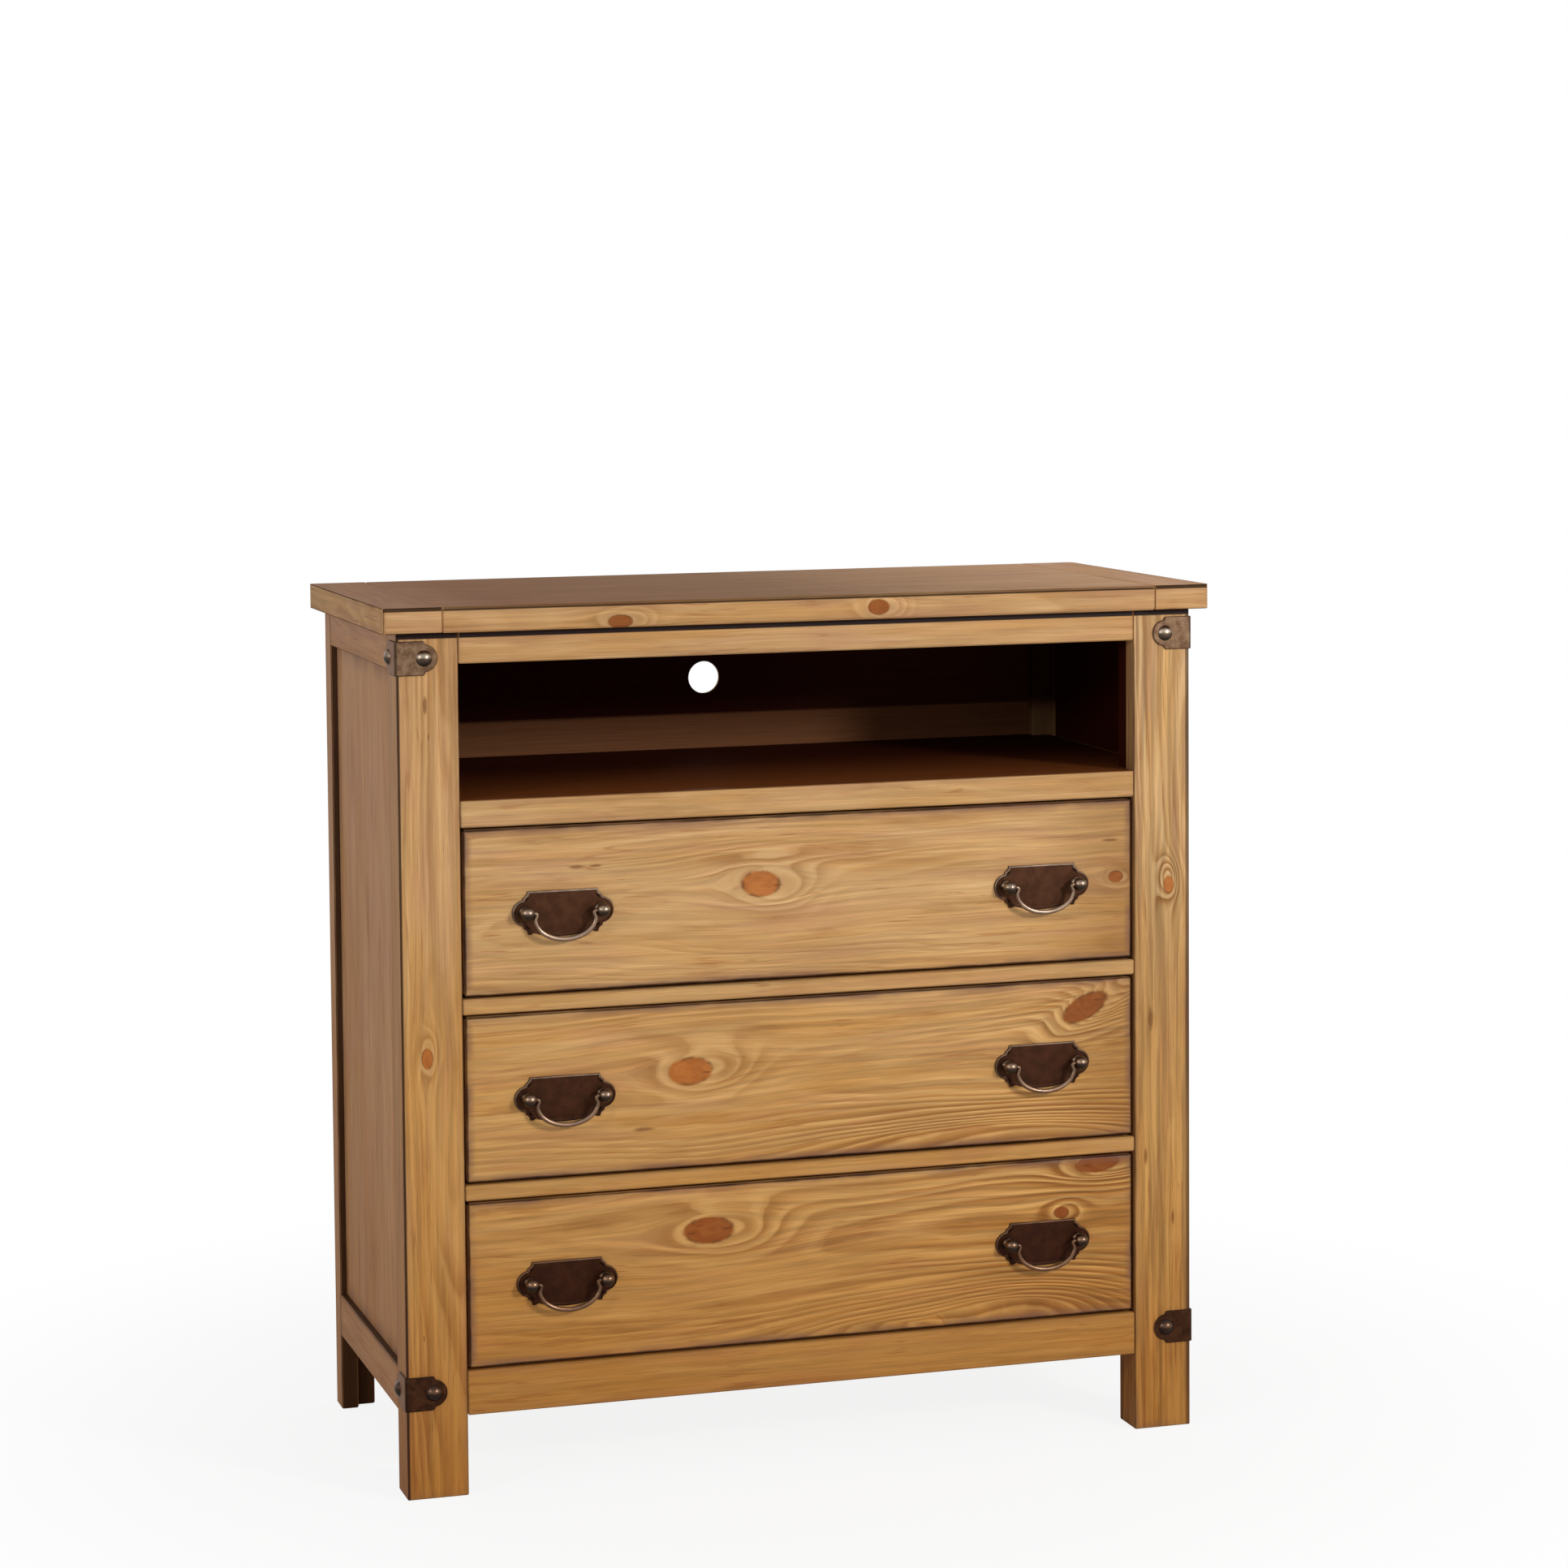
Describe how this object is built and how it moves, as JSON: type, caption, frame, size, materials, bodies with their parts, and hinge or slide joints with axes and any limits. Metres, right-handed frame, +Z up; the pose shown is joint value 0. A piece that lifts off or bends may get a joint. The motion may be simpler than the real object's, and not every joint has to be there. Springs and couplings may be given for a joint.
{
  "type": "media chest",
  "caption": "Pine media chest: an open compartment with a cable hole above sliding inset drawers, with swinging iron bail pulls and folded corner brackets.",
  "frame": {"origin": "on the floor, under the middle of the chest's bounding box", "axes": "+X to the right as one faces the drawers, +Y from the front to the back, +Z up"},
  "size_m": [0.963, 0.435, 0.9823],
  "materials": {
    "stained_pine": "honey-brown stain on knotty pine, satin, darker in the corners and along worn edges",
    "plain_pine": "planed inner wood with a thin matt stain",
    "dark_iron": "dark oiled bronze-brown iron, satin, rubbed brighter on the raised edges"
  },
  "bodies": {
    "carcass": {"top_board": "stained_pine", "top_end_left": "stained_pine", "top_end_right": "stained_pine", "front_leg_left": "stained_pine", "front_leg_right": "stained_pine", "rear_leg_left": "stained_pine", "rear_leg_right": "stained_pine", "bottom_rail": "stained_pine", "drawer_rail_1": "stained_pine", "drawer_rail_2": "stained_pine", "shelf_rail": "stained_pine", "top_rail": "stained_pine", "side_bottom_rail_left": "stained_pine", "side_bottom_rail_right": "stained_pine", "side_top_rail_left": "stained_pine", "side_top_rail_right": "stained_pine", "side_panel_left": "stained_pine", "side_panel_right": "stained_pine", "back_panel": "plain_pine", "back_bottom_rail": "plain_pine", "back_top_rail": "plain_pine", "back_shelf_rail": "plain_pine", "shelf_board": "stained_pine", "drawer_runner_left_1": "plain_pine", "drawer_runner_right_1": "plain_pine", "drawer_runner_left_2": "plain_pine", "drawer_runner_right_2": "plain_pine", "drawer_runner_left_3": "plain_pine", "drawer_runner_right_3": "plain_pine", "corner_bracket_top_left": "dark_iron", "corner_bracket_top_right": "dark_iron", "corner_bracket_bottom_left": "dark_iron", "corner_bracket_bottom_right": "dark_iron"},
    "drawer_1": {"drawer_front_1": "stained_pine", "drawer_side_left_1": "plain_pine", "drawer_side_right_1": "plain_pine", "drawer_back_1": "plain_pine", "drawer_bottom_1": "plain_pine", "pull_plate_left_1": "dark_iron", "pull_plate_right_1": "dark_iron"},
    "bail_left_1": {"bail_left_1": "dark_iron"},
    "bail_right_1": {"bail_right_1": "dark_iron"},
    "drawer_2": {"drawer_front_2": "stained_pine", "drawer_side_left_2": "plain_pine", "drawer_side_right_2": "plain_pine", "drawer_back_2": "plain_pine", "drawer_bottom_2": "plain_pine", "pull_plate_left_2": "dark_iron", "pull_plate_right_2": "dark_iron"},
    "bail_left_2": {"bail_left_2": "dark_iron"},
    "bail_right_2": {"bail_right_2": "dark_iron"},
    "drawer_3": {"drawer_front_3": "stained_pine", "drawer_side_left_3": "plain_pine", "drawer_side_right_3": "plain_pine", "drawer_back_3": "plain_pine", "drawer_bottom_3": "plain_pine", "pull_plate_left_3": "dark_iron", "pull_plate_right_3": "dark_iron"},
    "bail_left_3": {"bail_left_3": "dark_iron"},
    "bail_right_3": {"bail_right_3": "dark_iron"}
  },
  "joints": [
    {"name": "drawer_slide_1", "type": "slide", "parent": "carcass", "child": "drawer_1", "axis": [0, -1, 0], "range_m": [0, 0.28]},
    {"name": "bail_swing_left_1", "type": "hinge", "parent": "drawer_1", "child": "bail_left_1", "pos_m": [-0.281, -0.2097, 0.643], "axis": [-1, 0, 0], "range_deg": [-13, 180]},
    {"name": "bail_swing_right_1", "type": "hinge", "parent": "drawer_1", "child": "bail_right_1", "pos_m": [0.281, -0.2097, 0.643], "axis": [-1, 0, 0], "range_deg": [-13, 180]},
    {"name": "drawer_slide_2", "type": "slide", "parent": "carcass", "child": "drawer_2", "axis": [0, -1, 0], "range_m": [0, 0.28]},
    {"name": "bail_swing_left_2", "type": "hinge", "parent": "drawer_2", "child": "bail_left_2", "pos_m": [-0.281, -0.2097, 0.437], "axis": [-1, 0, 0], "range_deg": [-13, 180]},
    {"name": "bail_swing_right_2", "type": "hinge", "parent": "drawer_2", "child": "bail_right_2", "pos_m": [0.281, -0.2097, 0.437], "axis": [-1, 0, 0], "range_deg": [-13, 180]},
    {"name": "drawer_slide_3", "type": "slide", "parent": "carcass", "child": "drawer_3", "axis": [0, -1, 0], "range_m": [0, 0.28]},
    {"name": "bail_swing_left_3", "type": "hinge", "parent": "drawer_3", "child": "bail_left_3", "pos_m": [-0.281, -0.2097, 0.231], "axis": [-1, 0, 0], "range_deg": [-13, 180]},
    {"name": "bail_swing_right_3", "type": "hinge", "parent": "drawer_3", "child": "bail_right_3", "pos_m": [0.281, -0.2097, 0.231], "axis": [-1, 0, 0], "range_deg": [-13, 180]}
  ]
}
